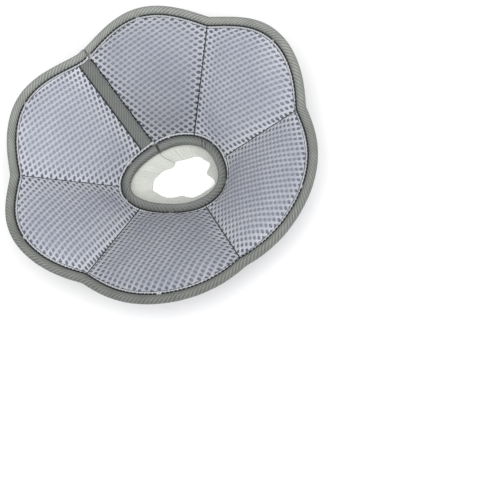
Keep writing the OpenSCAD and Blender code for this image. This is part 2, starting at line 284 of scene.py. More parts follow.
# Mesh making
class Build:
    """Points, faces, material slots and flat coordinates of one piece, and two values for its colour: how far
    it is swollen, and its painted light and shade."""

    def __init__(self):
        self.points, self.faces, self.slots, self.flats = [], [], [], []
        self.values = {"rise": [], "painted_light": []}
        self.count = 0

    def add(self, points, faces, slot=0, flat=None, rise=1, painted_light=1):
        points = np.asarray(points, float).reshape(-1, 3)
        self.points.append(points)
        self.faces += [(np.asarray(f) + self.count).tolist() for f in faces]
        self.slots += [slot] * len(faces) if np.isscalar(slot) else list(slot)
        self.flats.append(points[:, :2] if flat is None else np.asarray(flat).reshape(-1, 2))
        for name, value in (("rise", rise), ("painted_light", painted_light)):
            self.values[name].append(np.broadcast_to(np.ravel(value), len(points)))
        self.count += len(points)

    def swept(self, rings, slot=0, flat=None, painted_light=1):
        self.add(*sweep(rings), slot, flat, painted_light=painted_light)

    def sheet(self, top, low, flat):
        self.add(*slab(top, low), 0, np.concatenate([flat.reshape(-1, 2)] * 2))

    def sewn(self, path, normal, radius, slot=1, length=STITCH):
        points, faces, flat = stitches(path, normal, radius, length)
        self.add(points, faces, slot, flat)

    def piece(self, name, materials, closed=True):
        points, flats = np.concatenate(self.points), np.concatenate(self.flats)
        mesh = bpy.data.meshes.new(name)
        mesh.from_pydata(points.tolist(), [], self.faces)
        for m in materials:
            mesh.materials.append(m)
        mesh.polygons.foreach_set("material_index", self.slots)
        mesh.polygons.foreach_set("use_smooth", [True] * len(self.faces))
        corners = np.zeros(len(mesh.loops), np.int32)
        mesh.loops.foreach_get("vertex_index", corners)
        layer = mesh.uv_layers.new(name="flat")
        layer.data.foreach_set("uv", flats[corners].astype(np.float32).ravel())
        for key, value in self.values.items():
            data = mesh.attributes.new(key, "FLOAT", "POINT").data
            data.foreach_set("value", np.concatenate(value).astype(np.float32))
        if closed:
            turned = bmesh.new()
            turned.from_mesh(mesh)
            bmesh.ops.recalc_face_normals(turned, faces=turned.faces)
            turned.to_mesh(mesh)
            turned.free()
        mesh.update()
        obj = bpy.data.objects.new(name, mesh)
        bpy.context.scene.collection.objects.link(obj)
        return obj


def slab(top, low):
    """A closed sheet between two grids, with the faces of the top first."""
    n, m = top.shape[:2]
    points = np.concatenate([top.reshape(-1, 3), low.reshape(-1, 3)])
    o = n * m
    grid = np.arange(o).reshape(n, m)
    ring = np.concatenate([grid[0], grid[1:, -1], grid[-1, -2::-1], grid[-2:0:-1, 0]])
    nxt = np.roll(ring, -1)
    quads = np.stack([grid[:-1, :-1], grid[1:, :-1], grid[1:, 1:], grid[:-1, 1:]], -1).reshape(-1, 4)
    edge = np.stack([ring, nxt, nxt + o, ring + o], 1)
    return points, np.concatenate([quads, quads[:, ::-1] + o, edge])


def sweep(rings):
    """A closed section carried along, with capped ends."""
    n, m = rings.shape[:2]
    grid = np.arange(n * m).reshape(n, m)
    nxt = np.roll(grid, -1, 1)
    faces = np.stack([grid[:-1], nxt[:-1], nxt[1:], grid[1:]], -1).reshape(-1, 4).tolist()
    return rings.reshape(-1, 3), faces + [grid[0, ::-1].tolist(), grid[-1].tolist()]


def lean_of(grid):
    """The direction straight up from each point of a grid."""
    return unit(np.cross(np.gradient(grid, axis=0), np.gradient(grid, axis=1)))


def area_of(grid):
    cells = np.cross(np.diff(grid[:, :-1], axis=0), np.diff(grid[:-1], axis=1))
    return float(np.linalg.norm(cells, axis=-1).sum())


def run_length(points):
    steps = np.linalg.norm(np.diff(points, axis=0), axis=1)
    return np.concatenate([[0], np.cumsum(steps)])


# Rings of one stitch: place along it, then height and radius in shares of the thread's radius
STITCH_RINGS = [(0, -0.7, 0.5), (0.12, 0.1, 0.9), (0.5, 0.4, 1), (0.88, 0.1, 0.9), (1, -0.7, 0.5)]
STITCH_SIDES = 6


def stitches(path, normal, radius, length):
    """Stitches along a path, each a short thread that dives into the cloth at both ends."""
    along = run_length(path)
    count = max(1, int((along[-1] - 2 * STITCH_MARGIN - length) / STITCH_PITCH) + 1)
    slack = (along[-1] - length - (count - 1) * STITCH_PITCH) / 2
    starts = slack + STITCH_PITCH * np.arange(count)
    place, height, fat = np.array(STITCH_RINGS).T
    at = starts[:, None] + length * place
    pick = lambda data: np.stack([np.interp(at, along, data[:, a]) for a in range(3)], -1)
    centre, lean = pick(path), unit(pick(normal))
    run = unit(pick(np.gradient(path, along, axis=0)))
    side = unit(np.cross(run, lean))
    centre = centre + (height * radius)[:, None] * lean
    turn = 2 * math.pi * np.arange(STITCH_SIDES) / STITCH_SIDES
    ring = np.cos(turn)[:, None] * side[:, :, None, :] + np.sin(turn)[:, None] * lean[:, :, None, :]
    points = centre[:, :, None, :] + ring * (fat * radius)[:, None, None]
    size = len(STITCH_RINGS) * STITCH_SIDES
    _, one = sweep(points[0])
    faces = [[v + c * size for v in f] for c in range(count) for f in one]
    flat = np.stack([np.repeat(at.ravel(), STITCH_SIDES), np.tile(turn * radius, at.size)], 1)
    return points.reshape(-1, 3), faces, flat


# Materials. Colours are given as sRGB triples up to 255.
SPECULAR = 0.3
WHITE = (255, 255, 255)


def linear(srgb):
    c = np.array(srgb) / 255
    return (*np.where(c <= 0.04045, c / 12.92, ((c + 0.055) / 1.055) ** 2.4), 1.0)


class Nodes:
    """A tree of shader nodes, put together by name."""

    def __init__(self, tree):
        self.tree = tree

    def node(self, kind, links=None, **values):
        node = self.tree.nodes.new(kind)
        for key, value in values.items():
            if key in node.bl_rna.properties:
                setattr(node, key, value)
            else:
                node.inputs[key.replace("_", " ")].default_value = value
        for key, socket in (links or {}).items():
            self.tree.links.new(socket, node.inputs[key])
        return node

    def math(self, kind, a, b):
        node = self.node("ShaderNodeMath", operation=kind)
        for socket, value in zip(node.inputs, (a, b), strict=False):
            if isinstance(value, (int, float)):
                socket.default_value = value
            else:
                self.tree.links.new(value, socket)
        return node.outputs[0]

    def seen_directly(self):
        """1 for rays from the camera, straight or by way of a mirror or glass."""
        rays = self.node("ShaderNodeLightPath").outputs
        seen = self.math("MAXIMUM", rays["Is Camera Ray"], rays["Is Glossy Ray"])
        return self.math("MAXIMUM", seen, rays["Is Transmission Ray"])

    def show_white(self, fac, plain, white, output):
        """Goes from a plain shader to a white one."""
        mix = self.node("ShaderNodeMixShader", {0: fac, 1: plain.outputs[0], 2: white.outputs[0]})
        self.tree.links.new(mix.outputs[0], self.tree.nodes[output].inputs["Surface"])


class Look(Nodes):
    """A Principled material."""

    def __init__(self, name, roughness, sheen=0.0):
        self.material = bpy.data.materials.new(name)
        self.material.use_nodes = True
        super().__init__(self.material.node_tree)
        self.shader = self.tree.nodes["Principled BSDF"]
        values = {"Roughness": roughness, "Sheen Weight": sheen, "Specular IOR Level": SPECULAR}
        for key, value in values.items():
            self.shader.inputs[key].default_value = value

    def place(self, space, degrees=0.0):
        """Coordinates in the flat cloth (UV) or in the part's own space (Object)."""
        where = self.node("ShaderNodeTexCoord").outputs[space]
        turn = (0, 0, math.radians(degrees))
        return self.node("ShaderNodeMapping", {"Vector": where}, Rotation=turn).outputs[0]

    def noise(self, space, scale, detail=2.0):
        where = self.place(space)
        return self.node("ShaderNodeTexNoise", {"Vector": where}, Scale=scale, Detail=detail).outputs["Fac"]

    def bands(self, space, degrees, pitch, distortion=0.0):
        """Bands at a pitch. At a scale of 1 they lie pi / 10 apart."""
        where = self.place(space, degrees)
        values = {"Scale": math.pi / 10 / pitch, "Distortion": distortion, "Detail": 1.0, "Detail_Scale": 1.5}
        return self.node("ShaderNodeTexWave", {"Vector": where}, **values).outputs["Fac"]

    def total(self, *terms):
        """The sum of pairs of a socket and its share."""
        first, *rest = [self.math("MULTIPLY", *term) for term in terms]
        for term in rest:
            first = self.math("ADD", first, term)
        return first

    def colour(self, fac, *stops):
        node = self.node("ShaderNodeValToRGB", {"Fac": fac})
        while len(node.color_ramp.elements) < len(stops):
            node.color_ramp.elements.new(0.5)
        for element, (place, srgb) in zip(node.color_ramp.elements, stops, strict=True):
            element.position, element.color = place, linear(srgb)
        return node.outputs["Color"]

    def multiply(self, a, b):
        node = self.node("ShaderNodeMix", {6: a, 7: b}, data_type="RGBA", blend_type="MULTIPLY")
        node.inputs[0].default_value = 1.0
        return node.outputs[2]

    def finish(self, colour, height=None, depth=0.0, rough=None):
        """Links the colour, a bump of some depth, and a roughness: what it follows, least, most."""
        self.tree.links.new(colour, self.shader.inputs["Base Color"])
        if height is not None:
            bump = self.node("ShaderNodeBump", {"Height": height}, Strength=1.0, Distance=depth)
            self.tree.links.new(bump.outputs[0], self.shader.inputs["Normal"])
        if rough is not None:
            fac, low, high = rough
            node = self.node("ShaderNodeMapRange", {"Value": fac}, To_Min=low, To_Max=high)
            self.tree.links.new(node.outputs[0], self.shader.inputs["Roughness"])
        return self.material


def with_painted_light(look, colour):
    """A colour times the piece's painted light and shade."""
    painted_light = look.node("ShaderNodeAttribute", attribute_name="painted_light").outputs["Color"]
    return look.multiply(colour, painted_light)


def swell_shaded(look, sewn, full):
    """A colour that goes from sewn at the stitching to full where the padding is swollen, then times the
    piece's painted light and shade.
    """
    rise = look.node("ShaderNodeAttribute", attribute_name="rise").outputs["Fac"]
    return with_painted_light(look, look.colour(rise, (0.05, sewn), (0.75, full)))


def mesh_yarn():
    look = Look("mesh_yarn", 0.8, sheen=0.1)
    fibre = look.noise("Object", 1500, 3)
    cloud = look.noise("Object", 28)
    colour = swell_shaded(look, (200, 202, 208), (182, 185, 194))
    tint = look.colour(cloud, (0.35, (240, 241, 245)), (0.65, WHITE))
    strands = look.colour(fibre, (0.3, (232, 232, 234)), (0.7, WHITE))
    colour = look.multiply(look.multiply(colour, tint), strands)
    return look.finish(colour, fibre, 0.00012, (fibre, 0.7, 0.95))


def mesh_backing():
    look = Look("mesh_backing", 0.9, sheen=0.1)
    knit = look.bands("Object", 45, 0.0009, 1.5)
    fuzz = look.noise("Object", 900)
    height = look.math("ADD", knit, fuzz)
    # Painted shade: the backing is darker at the stitching, in the valleys along the seams and edges
    colour = swell_shaded(look, (94, 97, 108), (143, 146, 157))
    loops = look.colour(height, (0.4, (205, 206, 210)), (1.4, WHITE))
    colour = look.multiply(colour, loops)
    return look.finish(colour, height, 0.00015, (fuzz, 0.8, 1.0))


def lining_cloth():
    look = Look("lining_cloth", 0.75, sheen=0.15)
    warp = look.bands("Object", 0, 0.0007, 0.6)
    weft = look.bands("Object", 90, 0.0007, 0.6)
    weave = look.math("MULTIPLY", warp, weft)
    cloud = look.noise("Object", 35)
    height = look.math("ADD", weave, look.math("MULTIPLY", cloud, 0.3))
    colour = look.colour(height, (0.0, (112, 114, 121)), (1.0, (146, 148, 157)))
    return look.finish(colour, weave, 0.00008, (cloud, 0.65, 0.85))


def twill_tape(name, dark, light, depth=0.00024):
    look = Look(name, 0.8, sheen=0.1)
    rib = look.bands("UV", 52, 0.002, 0.8)
    cross = look.bands("UV", -38, 0.0007, 0.5)
    cloud = look.noise("UV", 90, 3)
    fuzz = look.noise("Object", 1400, 2)
    height = look.total((rib, 0.8), (cross, 0.3))
    shade = look.total((height, 0.6), (cloud, 0.45), (fuzz, 0.25))
    colour = with_painted_light(look, look.colour(shade, (0.25, dark), (0.95, light)))
    return look.finish(colour, height, depth, (cloud, 0.7, 0.95))


# Near-black thread: thread, and painted shade of the grooves it lies in
def thread_and_groove_shade():
    look = Look("thread_and_groove_shade", 0.6, sheen=0.1)
    twist = look.bands("UV", 35, 0.0005)
    colour = look.colour(twist, (0.2, (12, 13, 17)), (0.9, (30, 32, 38)))
    return look.finish(colour, twist, 0.00006, (twist, 0.5, 0.75))


def cuff_knit():
    look = Look("cuff_knit", 0.85, sheen=0.3)
    rib = look.bands("UV", 0, 0.00085, 0.8)
    course = look.bands("UV", 90, 0.0006, 0.8)
    cloud = look.noise("UV", 60)
    height = look.total((rib, 0.8), (course, 0.3))
    shade = look.total((height, 0.5), (cloud, 0.5))
    # The knit is white; its grey colours are painted shade from the collar over it
    colour = look.colour(shade, (0.2, (184, 186, 180)), (0.9, (207, 209, 203)))
    return look.finish(colour, height, 0.00012, (cloud, 0.75, 0.95))


def hook_cloth(name, dark, light):
    look = Look(name, 0.7)
    fuzz = look.noise("Object", 1200, 3)
    return look.finish(look.colour(fuzz, (0.3, dark), (0.7, light)), fuzz, 0.0001, (fuzz, 0.55, 0.85))


YARN = mesh_yarn()
BACKING = mesh_backing()
LINING = lining_cloth()
TAPE = twill_tape("twill_tape", (98, 101, 98), (156, 159, 154))
# A darker copy of the twill tape, for the neck's tape and the flap's tape: painted shade
SHADED_TWILL = twill_tape("shaded_twill_tape", (78, 81, 80), (112, 115, 112), 0.00015)
SELVAGE = twill_tape("tape_selvage", (140, 143, 147), (194, 196, 200))
THREAD_AND_SHADE = thread_and_groove_shade()
KNIT = cuff_knit()
HOOKS = hook_cloth("hook_cloth", (154, 156, 161), (187, 189, 194))
LOOPS = hook_cloth("loop_cloth", (166, 168, 173), (199, 200, 204))


# Painted light and shade on each petal's cloth: a painted brightness for each petal, and painted shade that
# darkens it towards the neck and fades out a share of the way to the rim
PETAL_PAINTED_LIGHT = [0.95, 1.0, 0.97, 0.89, 0.98, 1.03]
NECK_PAINTED_SHADE = [0.84, 0.94, 0.9, 0.9, 0.9, 0.9]
NECK_SHADE_REACH = 0.8
GAMMA = 2.2


def painted_light_at(i, t):
    neck_shade = lerp(NECK_PAINTED_SHADE[i - 1], 1.0, ramp(np.clip(t, 0, 1) / NECK_SHADE_REACH))
    return (PETAL_PAINTED_LIGHT[i - 1] * neck_shade) ** GAMMA


# Pads: foam and lining of one panel, as a closed form on a grid u, v
PAD_COLS = 30
PAD_ROWS = 28
START_SHARE = 0.9
SWELL_CAP = 0.003
SWELL_FRAMES = 20
SEWN_RISE = 0.02
CLOTH = {
    "quality": 6, "mass": 0.01, "tension_stiffness": 5, "compression_stiffness": 5, "shear_stiffness": 2,
    "bending_stiffness": 0.3, "use_pressure": True, "uniform_pressure_force": 4,
}


def pad_edges(i):
    """How far the pad's two sides stay off the seam lines."""
    return SEAM_GAP, FOLD_INSET - STRIP_OVER if i == PANELS else SEAM_GAP


def grid_place(i, u, v):
    inset = FOLD_INSET / span(i, u)
    t = lerp(inset, 1 - inset, v)
    w = width(i, t)
    first, last = pad_edges(i)
    return lerp(first / w, 1 - last / w, u), t


def place_grid(i, s, t):
    """The u, v of a place on the panel, the way back from grid_place."""
    w = width(i, t)
    first, last = pad_edges(i)
    u = (s - first / w) / (1 - (first + last) / w)
    inset = FOLD_INSET / span(i, np.clip(u, 0, 1))
    return u, (t - inset) / (1 - 2 * inset)


def positions(obj):
    co = np.zeros(len(obj.data.vertices) * 3, np.float32)
    obj.data.vertices.foreach_get("co", co)
    return co.reshape(-1, 3).astype(float)


def inflate(obj, sewn):
    """Swells the pad with a cloth simulation, held where it is sewn, and caps the movement."""
    scene = bpy.context.scene
    group = obj.vertex_groups.new(name="sewn")
    group.add(np.flatnonzero(sewn).tolist(), 1.0, "REPLACE")
    cloth = obj.modifiers.new("swell", "CLOTH")
    for key, value in CLOTH.items():
        setattr(cloth.settings, key, value)
    cloth.settings.effector_weights.gravity = 0
    cloth.settings.vertex_group_mass = group.name
    cloth.collision_settings.use_collision = False
    cloth.point_cache.frame_start = 1
    cloth.point_cache.frame_end = SWELL_FRAMES
    before = positions(obj)
    for f in range(1, SWELL_FRAMES + 1):
        scene.frame_set(f)
    after = positions(obj.evaluated_get(bpy.context.evaluated_depsgraph_get()))
    obj.modifiers.remove(cloth)
    obj.vertex_groups.remove(group)
    scene.frame_set(1)
    move = after - before
    far = np.linalg.norm(move, axis=1, keepdims=True)
    move *= np.minimum(1, SWELL_CAP / np.maximum(far, 1e-9))
    obj.data.vertices.foreach_set("co", (before + move).astype(np.float32).ravel())
    obj.data.update()


def make_pad(i):
    """One pad, and its front as a grid for the mesh that lies on it."""
    share = START_SHARE
    u, v = np.meshgrid(np.linspace(0, 1, PAD_COLS), np.linspace(0, 1, PAD_ROWS), indexing="ij")
    s, t = grid_place(i, u, v)
    front = over(i, s, t, front_height(i, s, t, share) - COVER_T)
    back = over(i, s, t, back_height(i, s, t, share))
    points, faces = slab(front, back)
    slots = np.where(np.arange(len(faces)) < (PAD_COLS - 1) * (PAD_ROWS - 1), 0, 1)
    rise, painted_light = (np.tile(value.ravel(), 2) for value in (swelling(i, s, t), painted_light_at(i, t)))
    build = Build()
    build.add(points, faces, slots, rise=rise, painted_light=painted_light)
    pad = build.piece(f"pad_{i}", [BACKING, LINING])
    inflate(pad, rise <= SEWN_RISE)
    front = positions(pad)[: front.size // 3].reshape(front.shape)
    soft = pad.modifiers.new("soft", "SUBSURF")
    soft.levels = soft.render_levels = 1
    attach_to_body(pad, BODY[i])
    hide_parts(f"foam_pad_{i}", f"back_lining_{i}")
    return front


# Open mesh over a pad
def cubic(f):
    """Weights of the four grid points round a place at f between the middle two."""
    return np.stack([
        -0.5 * f + f**2 - 0.5 * f**3, 1 - 2.5 * f**2 + 1.5 * f**3,
        0.5 * f + 2 * f**2 - 1.5 * f**3, -0.5 * f**2 + 0.5 * f**3,
    ], -1)


def sample(grid, u, v):
    """A smooth surface through the grid's points, at u and v."""
    n, m = grid.shape[:2]
    x, y = np.clip(u, 0, 1) * (n - 1), np.clip(v, 0, 1) * (m - 1)
    j, k = np.minimum(x.astype(int), n - 2), np.minimum(y.astype(int), m - 2)
    a, b = cubic(x - j), cubic(y - k)
    total = 0
    for c in range(4):
        for d in range(4):
            near = grid[np.clip(j + c - 1, 0, n - 1), np.clip(k + d - 1, 0, m - 1)]
            total = total + (a[:, c] * b[:, d])[:, None] * near
    return total


def in_plane(i, points):
    """Places along the petal's middle line and across it."""
    start, end = neck_at(i, 0.5), rim_at(i, 0.5)
    along = unit(end - start)
    across = rim_at(i, 1.0) - rim_at(i, 0.0)
    across = unit(across - across.dot(along) * along)
    return (points - start) @ np.stack([along, across], 1)


def place_of(i, xy):
    """s and t of places in the petal's plane, by halving."""
    def off(s):
        neck, rim = in_plane(i, neck_at(i, s)), in_plane(i, rim_at(i, s))
        line, here = rim - neck, xy - neck
        return line[:, 0] * here[:, 1] - line[:, 1] * here[:, 0], line, here

    past, halvings = 0.15, 34
    low, high = np.full(len(xy), -past), np.full(len(xy), 1 + past)
    sign = np.sign(off(low)[0])
    for _ in range(halvings):
        s = (low + high) / 2
        same = np.sign(off(s)[0]) == sign
        low, high = np.where(same, s, low), np.where(same, high, s)
    _, line, here = off(s)
    return s, (line * here).sum(1) / (line * line).sum(1)


def net_limits(i, s, t):
    """The mesh's edge: s and t held inside the seams and under the tapes."""
    w = width(i, t)
    last = NET_FLAP if i == PANELS else SEAM_GAP
    s = np.clip(s, SEAM_GAP / w, 1 - last / w)
    l = span(i, s)
    return s, np.clip(t, (NECK_TAPE - NET_UNDER) / l, 1 - (RIM_TAPE - NET_UNDER) / l)


# Border of a square cell, from one corner to the next, and its four turns
CELL_POINTS = 12
SIDE_POINTS = np.array([(0.5, -0.5), (0.5, -1 / 6), (0.5, 1 / 6)])
QUARTERS = [np.array([(c, s), (-s, c)]) for c, s in ((1, 0), (0, 1), (-1, 0), (0, -1))]


def around(degrees):
    return np.stack([np.cos(np.radians(degrees)), np.sin(np.radians(degrees))], -1)


def make_net(i, front):
    """The cover of one panel: strands round four-sided holes, laid out as squares of side 1 and
    then drawn into the panel's own rows."""
    rng = np.random.default_rng(NET_SEED + i)
    spacing, across = np.array(HOLE_ROWS[i - 1]).T
    spacing = MM * spacing
    drawn = np.linalg.inv(around(across) / spacing[:, None]).T
    number = np.arange(-HOLE_REACH, HOLE_REACH + 1)
    middles = np.stack(np.meshgrid(number, number), -1).reshape(-1, 2).astype(float)
    s, t = place_of(i, middles @ drawn)
    slack = spacing.max() / width(i, np.clip(t, 0, 1))
    middles = middles[(s > -slack) & (s < 1 + slack) & (t > -NET_PAST) & (t < 1 + NET_PAST)]
    # A cell has twelve points round its border, shared with its neighbours, and two rings in it
    corner = np.arange(CELL_POINTS)
    at_corner = corner % 3 == 0
    spokes = np.concatenate([SIDE_POINTS @ quarter for quarter in QUARTERS])
    border = middles[:, None] + spokes
    keys = np.round(border.reshape(-1, 2) * 1e4).astype(np.int64)
    _, first, index = np.unique(keys, axis=0, return_index=True, return_inverse=True)
    index = index.reshape(-1, CELL_POINTS)
    border = border.reshape(-1, 2)[first]
    crown = np.tile(at_corner, len(middles))[first]
    below = np.abs(np.abs(spokes[:, HOLE_LEAD[i - 1]]) - 0.5) > 0.1
    under = np.tile(below, len(middles))
    low = under[first]
    hole = spokes * 2 * HOLE_HALF * np.where(at_corner, HOLE_ROUND, 1)[:, None]
    ring = middles[:, None] + hole
    deep = middles[:, None] + HOLE_TAPER * hole
    plan = np.concatenate([border, ring.reshape(-1, 2), deep.reshape(-1, 2)]) @ drawn
    strands = np.where(low & ~crown, LOW_YARN, TOP_YARN)
    count = ring.size // 2
    height = np.concatenate([strands, np.full(count, RIM_YARN), np.full(count, FOOT_YARN)])
    height = height + rng.normal(0, UNEVEN_RISE, len(height))
    plan = plan + rng.normal(0, UNEVEN_PLACE, plan.shape)
    s, t = place_of(i, plan)
    held_s, held_t = net_limits(i, s, t)
    outside = np.abs(held_s - s) * width(i, held_t) > 1e-7
    outside |= np.abs(held_t - t) * span(i, held_s) > 1e-7
    u, v = place_grid(i, held_s, held_t)
    points = sample(front, u, v) + height[:, None] * unit(sample(lean_of(front), u, v))
    cells = np.flatnonzero(~outside[index].all(1))
    ring_at = len(border) + cells[:, None] * CELL_POINTS + corner
    deep_at = ring_at + count
    nxt = lambda rows: np.roll(rows, -1, 1)
    rows = [(index[cells], ring_at), (ring_at, deep_at)]
    quads = np.concatenate([np.stack([p, nxt(p), nxt(q), q], -1).reshape(-1, 4) for p, q in rows])
    corners = points[quads]
    area = np.cross(corners[:, 2] - corners[:, 0], corners[:, 3] - corners[:, 1])
    quads = quads[np.linalg.norm(area, axis=1) > 1e-9]
    used, packed = np.unique(quads, return_inverse=True)
    build = Build()
    held_s, held_t = held_s[used], held_t[used]
    rise = swelling(i, held_s, held_t)
    dim = np.concatenate([low, under, under])[used]
    painted_light = painted_light_at(i, held_t) * (1 - UNDER_SHADE * dim * rise)
    build.add(points[used], packed.reshape(-1, 4), rise=rise, painted_light=painted_light)
    net = build.piece(f"mesh_{i}", [YARN], closed=False)
    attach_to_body(net, BODY[i])
    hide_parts(f"mesh_cover_{i}")
    return net


def declare_net(i, net, front):
    """The cover's cut, left undeclared: the panel's width at the rim, its length along the middle and the
    area of the pad's front are worked out and not used.
    """
    wide, long = float(width(i, 1.0)), float(span(i, 0.5))
    area_of(front)


for panel in range(1, PANELS + 1):
    pad_front = make_pad(panel)
    declare_net(panel, make_net(panel, pad_front), pad_front)


# Runs of tape and cuff from panel to panel: [panel, from s, to s], each run one piece. Where a run crosses a
# seam that folds, a reach to each side of the seam is given for a bend, but the run does not bend.
STATION = 0.0006
END_GAP = 0.3 * MM
TAPE_BEND = 5 * MM
SEAM_BEND = 1.5 * MM
CUFF_BEND = 4 * MM


def runs(first, last):
    yield [(1, first, 0.5)]
    for i in range(1, PANELS):
        yield [(i, 0.5, 1), (i + 1, 0, 0.5)]
    yield [(PANELS, 0.5, last)]


def stations(run, edge):
    """The panels of a run with places along them, about a station apart."""
    for k, (i, first, last) in enumerate(run):
        path = (rim_at if edge else neck_at)(i, np.linspace(first, last, 40))
        s = np.linspace(first, last, max(4, round(run_length(path)[-1] / STATION)) + 1)
        yield i, s[1:] if k else s


def attach(piece, run, reach):
    """A run on one body rides on it. One over a seam that folds is left on no body, fixed where it is; the
    reach of its bend is worked out, but no bend is made.
    """
    first, last = run[0][0], run[-1][0]
    if BODY[first] == BODY[last]:
        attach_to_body(piece, BODY[first])
        return
    neck, out, front = seam_line(first)
    aside = reach * np.cross(out, front)
    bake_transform(piece)


# A leg of a folded tape, in mm: points near its sewn edge and then near the fold, each with its
# distance from that edge or fold, its height, and its shares of the bulge and of the pucker
LEG_EDGE = [
    (0, -0.75, 0, 0.2), (0.1, -0.5, 0, 0.2), (0.35, -0.5, 0, 0), (0.65, -0.25, 0.08, 0.2),
    (1.1, 0, 0.28, 0.5), (1.8, 0.15, 0.54, 0.8), (2.8, 0.2, 0.8, 1), (3.9, 0.2, 0.94, 1),
]
LEG_FOLD = [(2.7, 0.15, 1, 0.8), (1.7, -0.05, 0.93, 0.5), (0.9, -0.4, 0.68, 0.3), (0.35, -0.95, 0.35, 0.1)]
# Section of the flat selvage beyond the stitches, in mm: distance past the tape's edge, height
SELVAGE_SECTION = np.array([(-0.2, 0.3), (0.9, 0.55), (1.8, 0.4), (2.1, 0), (1.8, -0.35), (-0.2, -0.35)]) * MM
SELVAGE_LINE = 2.15 * MM


def fold_section(w):
    """The closed section of a folded tape: distance from the fold, height, then the shares of the
    front's bulge, of the back's bulge and of the pucker."""
    leg = np.array([(w / MM - d, *rest) for d, *rest in LEG_EDGE] + LEG_FOLD) * [MM, MM, 1, 1]
    d, h, bulge, pucker = leg.T
    front = np.stack([d, TAPE_TOP + h, bulge, 0 * d, pucker], 1)
    back = np.stack([d, TAPE_LOW - h, 0 * d, -bulge, -pucker], 1)[::-1]
    inner, inset = 1.3 * MM, 2.6 * MM
    low, top = TAPE_LOW + TAPE_T, TAPE_TOP - TAPE_T
    core = [(w, low), (inset, low), (inner, 0.1 * MM), (inset, top), (w, top)]
    bare = [(*point, 0, 0, 0) for point in core]
    return np.vstack([front, [(0.1 * MM, 0.1 * MM, 0, 0, 0)], back, bare])


def pucker_at(x):
    """Small uneven waves along sewn tape, with x counted in panels."""
    wave = np.sin(2 * math.pi * 23 * x + 2.1 * np.sin(2 * math.pi * 3.3 * x))
    return MM * (0.09 * wave + 0.12 * np.sin(2 * math.pi * 7.7 * x + 1.3))


# Height of the stitches, the pressed end of the first panel's tape, the flap's tape that others
# cross, and the tuck
STITCH_RISE = 0.1 * MM
PRESSED = FRONT_0 + 0.2 * MM
PRESS_RUN = 1.6 * MM
PRESS_BARE = 0.2
SEAT_RISE = 0.4 * MM
CROSS_EARLY = 0.2 * MM
CROSS_RUN = 0.6 * MM
FLAP_CLEAR = (0.5, 0.85)
TUCK_PANEL = 2
TUCK_PLACE = 0.36
TUCK_SLANT = 0.7


def pressed(i, s, edge):
    """Share by which the first panel's tape is pressed flat under the end of the flap's."""
    if i > 1:
        return np.zeros_like(s)
    return 1 - ramp((s * width(1, float(edge)) - STRIP_OVER - END_GAP) / PRESS_RUN)


def under_flap(i, s):
    """Share of the back's bulge: none where the last panel lies on the first one."""
    return 1 - between(s, FLAP_CLEAR) if i == PANELS else np.ones_like(s)


def tuck_at(i, s, d):
    """A small slanting tuck in the tape round the neck."""
    if i != TUCK_PANEL:
        return 0 * s * d
    x = ((s - TUCK_PLACE) * width(TUCK_PANEL, 0.0) + TUCK_SLANT * (d - NECK_TAPE / 2)) / MM
    return MM * (0.5 * bump(x, 0, 1.1) - 0.9 * bump(x, 1.5, 0.45) - 0.9 * bump(x, -1.5, 0.45))


def bed_height(i, s, t):
    """Height of what lies under the selvage: the mesh, or the tape across the flap's edge."""
    bed = front_height(i, np.clip(s, 0, 1), t)
    if i < PANELS:
        return bed
    crossed = ramp(((s - 1) * width(PANELS, t) + STRIP_W - STRIP_OVER + CROSS_EARLY) / CROSS_RUN)
    return lerp(bed, LAP_RISE + TAPE_TOP, crossed)


# Painted light and shade on the rim's tape at the middle of each panel, and on a tape's sewn edge and crest
# at neck and rim; then painted shade in the tuck's grooves, and the groove depth at which it is full
PAINTED_LIGHT_PLACE = 0.5 + np.arange(1, PANELS + 1)
RIM_PAINTED_LIGHT = [0.98, 0.97, 0.84, 0.75, 0.83, 0.97]
CREST_PAINTED_LIGHT = [(0.84, 1.1), (0.94, 1.03)]
TUCK_SHADE = 0.55
TUCK_DEEP = 0.6 * MM


